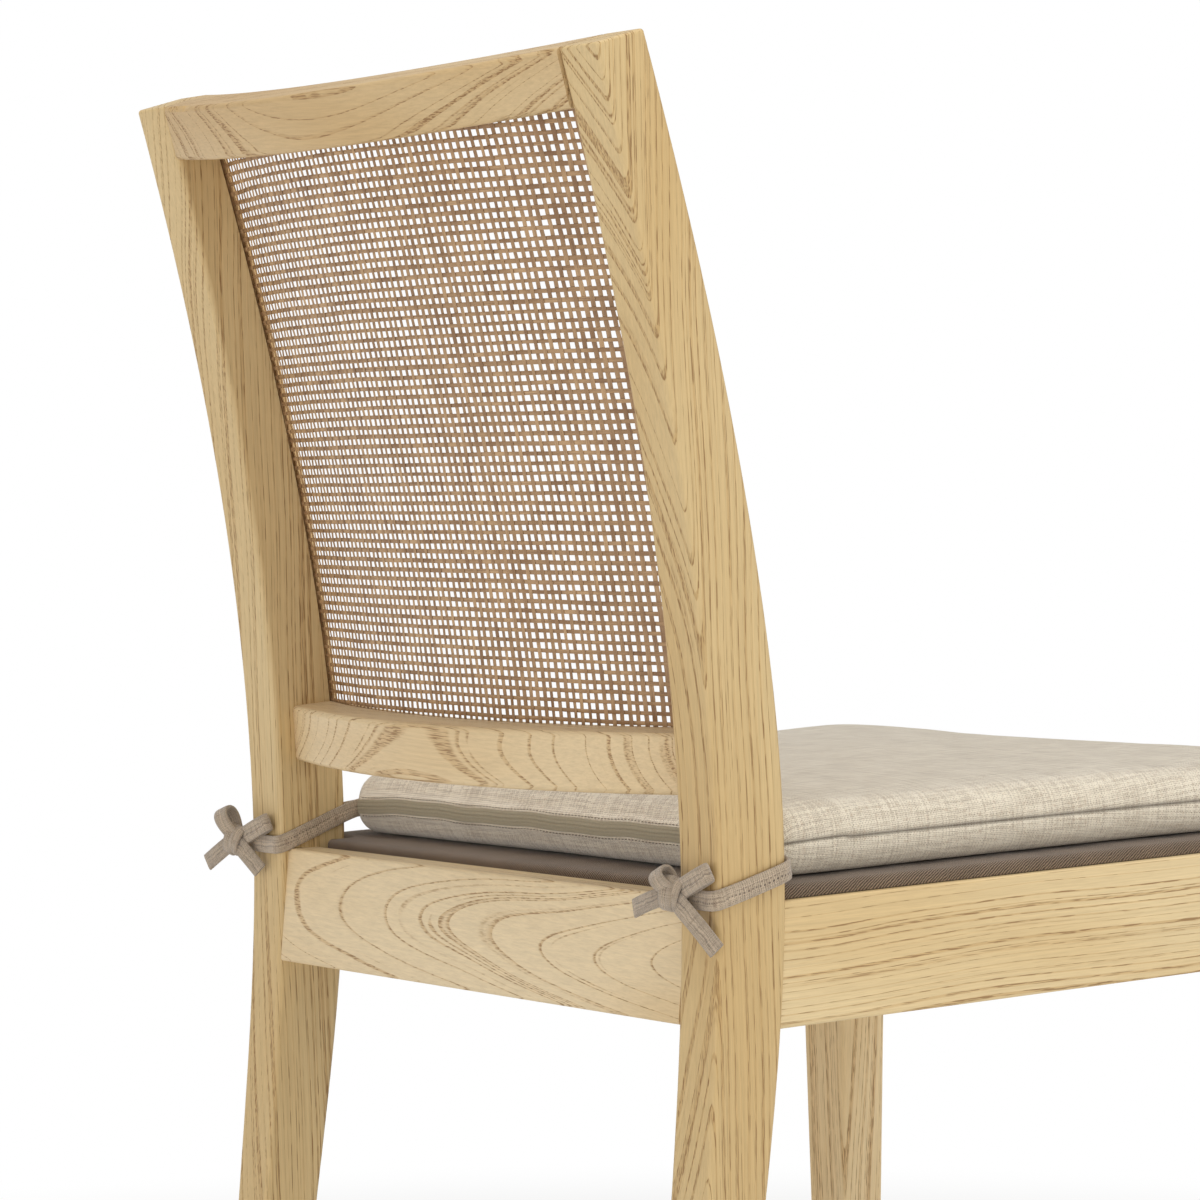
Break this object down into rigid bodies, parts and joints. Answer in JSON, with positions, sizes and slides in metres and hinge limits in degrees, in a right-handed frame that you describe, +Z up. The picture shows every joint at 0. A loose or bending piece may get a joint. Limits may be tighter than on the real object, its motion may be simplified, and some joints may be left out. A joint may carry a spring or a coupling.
{
  "type": "dining chair",
  "caption": "Armless wooden dining chair with a bowed cane back, upholstered seat and a zipped loose cushion tied to the back posts with bows.",
  "frame": {"origin": "on the floor under the middle of the whole chair's plan", "axes": "+Z up, the front of the seat faces -Y, +X is to the right of someone who stands in front of the chair and looks at it"},
  "size_m": [0.48, 0.6122, 0.8743],
  "materials": {
    "ash": "clear satin lacquer on ash with open grain",
    "beech": "plain sanded beech",
    "plywood": "birch plywood, sanded",
    "cane": "woven brown rattan, matt",
    "linen": "light beige linen look with slubs",
    "seat_cloth": "dark taupe woven cloth",
    "tie_tape": "taupe folded tape, stitched",
    "zip_tape": "olive taupe zip tape",
    "dust_cloth": "black non-woven cloth",
    "foam": "polyurethane foam",
    "felt": "pressed felt",
    "zinc_steel": "zinc plated steel",
    "zip_metal": "antique brass"
  },
  "bodies": {
    "chair": {"back_post_left": "ash", "back_post_right": "ash", "crest_rail": "ash", "lower_back_rail": "ash", "cane_panel": "cane", "cane_bead_top": "ash", "cane_bead_bottom": "ash", "cane_bead_left": "ash", "cane_bead_right": "ash", "rear_seat_rail": "ash", "front_seat_rail": "ash", "side_seat_rail_left": "ash", "side_seat_rail_right": "ash", "front_leg_left": "ash", "front_leg_right": "ash", "crest_dowels": "beech", "lower_rail_dowels": "beech", "rear_rail_dowels": "beech", "front_rail_dowels": "beech", "side_rail_dowels": "beech", "corner_block_rear_left": "beech", "corner_block_rear_right": "beech", "corner_block_front_left": "beech", "corner_block_front_right": "beech", "corner_block_screws": "zinc_steel", "seat_screws": "zinc_steel", "seat_board": "plywood", "seat_foam": "foam", "seat_cover": "seat_cloth", "dust_cloth": "dust_cloth", "cushion_foam": "foam", "cushion_cover": "linen", "zip_tape": "zip_tape", "tie_band_left": "tie_tape", "tie_band_right": "tie_tape", "tie_bow_left": "tie_tape", "tie_bow_right": "tie_tape", "glides": "felt", "glide_nails": "zinc_steel"},
    "zip_slider": {"zip_slider": "zip_metal", "zip_pull": "zip_metal"}
  },
  "joints": [
    {"name": "zip_slide", "type": "slide", "parent": "chair", "child": "zip_slider", "axis": [1, 0, 0], "range_m": [0, 0.352]}
  ]
}
